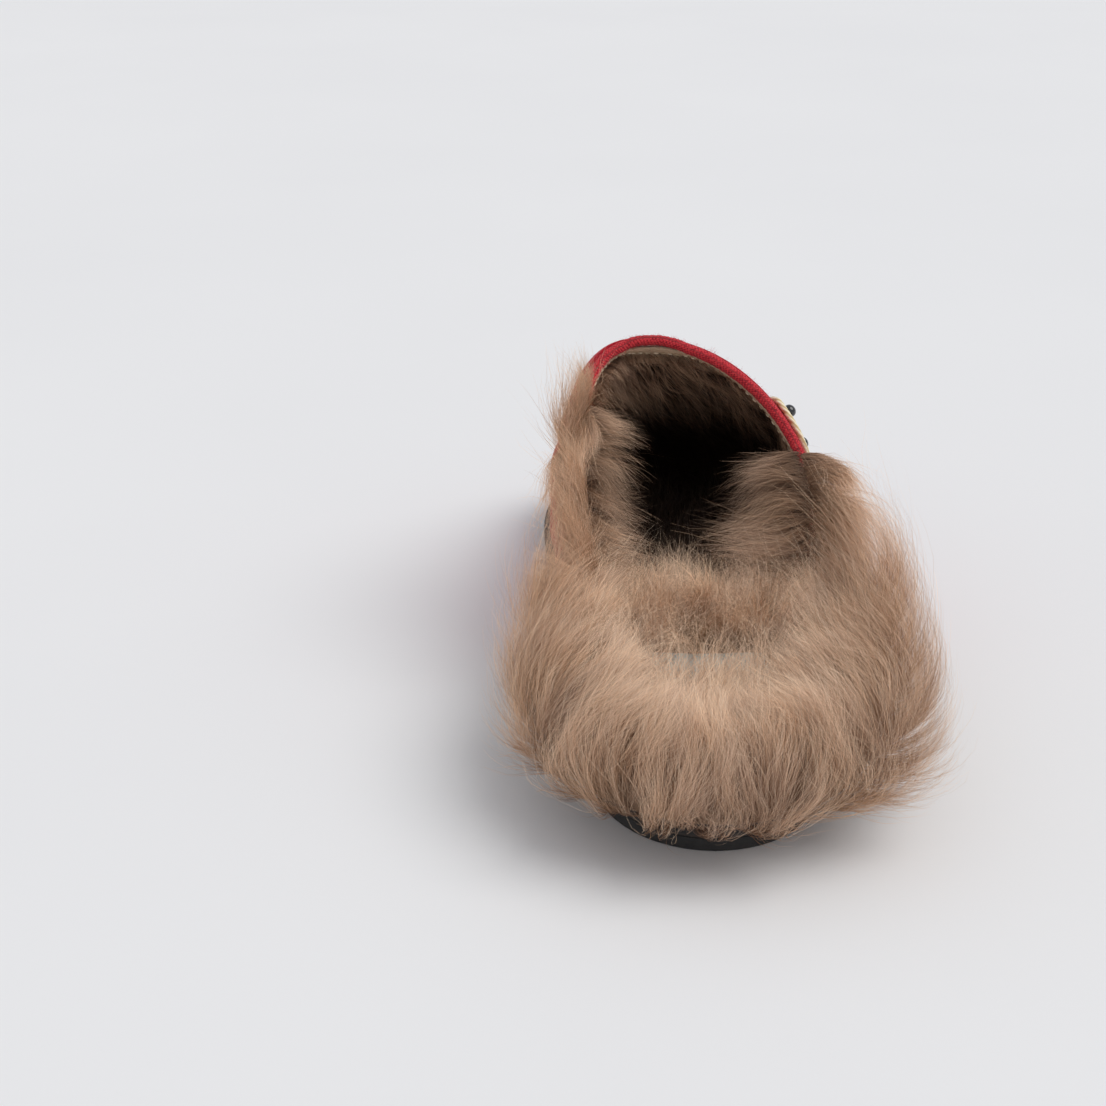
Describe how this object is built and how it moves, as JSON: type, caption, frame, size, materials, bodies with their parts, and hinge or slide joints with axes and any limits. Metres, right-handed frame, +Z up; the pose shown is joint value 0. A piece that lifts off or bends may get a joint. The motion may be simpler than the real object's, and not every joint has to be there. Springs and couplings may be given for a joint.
{
  "type": "fluffy house slipper",
  "caption": "Backless fur-lined slipper for the right foot: long fur over the footbed and round the heel, a red felt upper with a rolled topline, and a low black sole.",
  "frame": {"origin": "on the floor, under the centre of the slipper's bounding box", "axes": "+Z up, +Y from heel to toe, +X towards the outer side of the right foot"},
  "size_m": [0.1066, 0.279, 0.0971],
  "materials": {
    "outsole": "matt black with a trimmed edge",
    "heel_stack": "black-inked stacked leather",
    "heel_rubber": "matt",
    "nail_steel": "dull",
    "shank_steel": "rolled strip",
    "rivet_brass": "dull",
    "board": "cellulose board",
    "foam": "open foam",
    "hide": "suede side of the fur's hide",
    "fur": "long tan-brown hair in locks",
    "label": "plain woven ribbon",
    "felt": "red wool felt",
    "felt_roll": "red wool, rolled edge",
    "stiffener": "stiffened cloth",
    "tape": "cotton tape",
    "facing": "raw-edged tan leather",
    "thread": "cream thread",
    "patch": "satin-stitched thread",
    "border": "corded satin stitch",
    "bead": "polished jet black"
  },
  "bodies": {
    "forefoot": {"outsole_forepart": "outsole", "insole_board_forepart": "board", "felt_vamp": "felt", "toe_puff": "stiffener", "topline_tape": "tape", "topline_facing": "facing", "vamp_lining_hide": "hide", "vamp_lining_pile": "fur", "rolled_topline": "felt_roll", "facing_stitches": "thread", "applique_patch": "patch", "applique_border": "border", "applique_beads": "bead"},
    "rear": {"outsole_rear": "outsole", "heel_block": "heel_stack", "heel_top_piece": "heel_rubber", "heel_nails": "nail_steel", "steel_shank": "shank_steel", "shank_rivets": "rivet_brass", "insole_board_rear": "board", "footbed_foam": "foam", "footbed_hide": "hide", "footbed_fur_pile": "fur", "insole_label": "label", "heel_hide_wrap": "hide", "heel_fur_pile": "fur"}
  },
  "joints": [
    {"name": "ball_flex", "type": "hinge", "parent": "forefoot", "child": "rear", "pos_m": [0, 0.0465, 0.0115], "axis": [-1, 0, 0], "range_deg": [0, 30], "stiffness_Nm_per_rad": 1.2, "deforming": ["felt_vamp", "topline_tape", "topline_facing", "vamp_lining_hide", "vamp_lining_pile", "rolled_topline", "facing_stitches", "footbed_foam", "footbed_hide", "footbed_fur_pile"]}
  ]
}
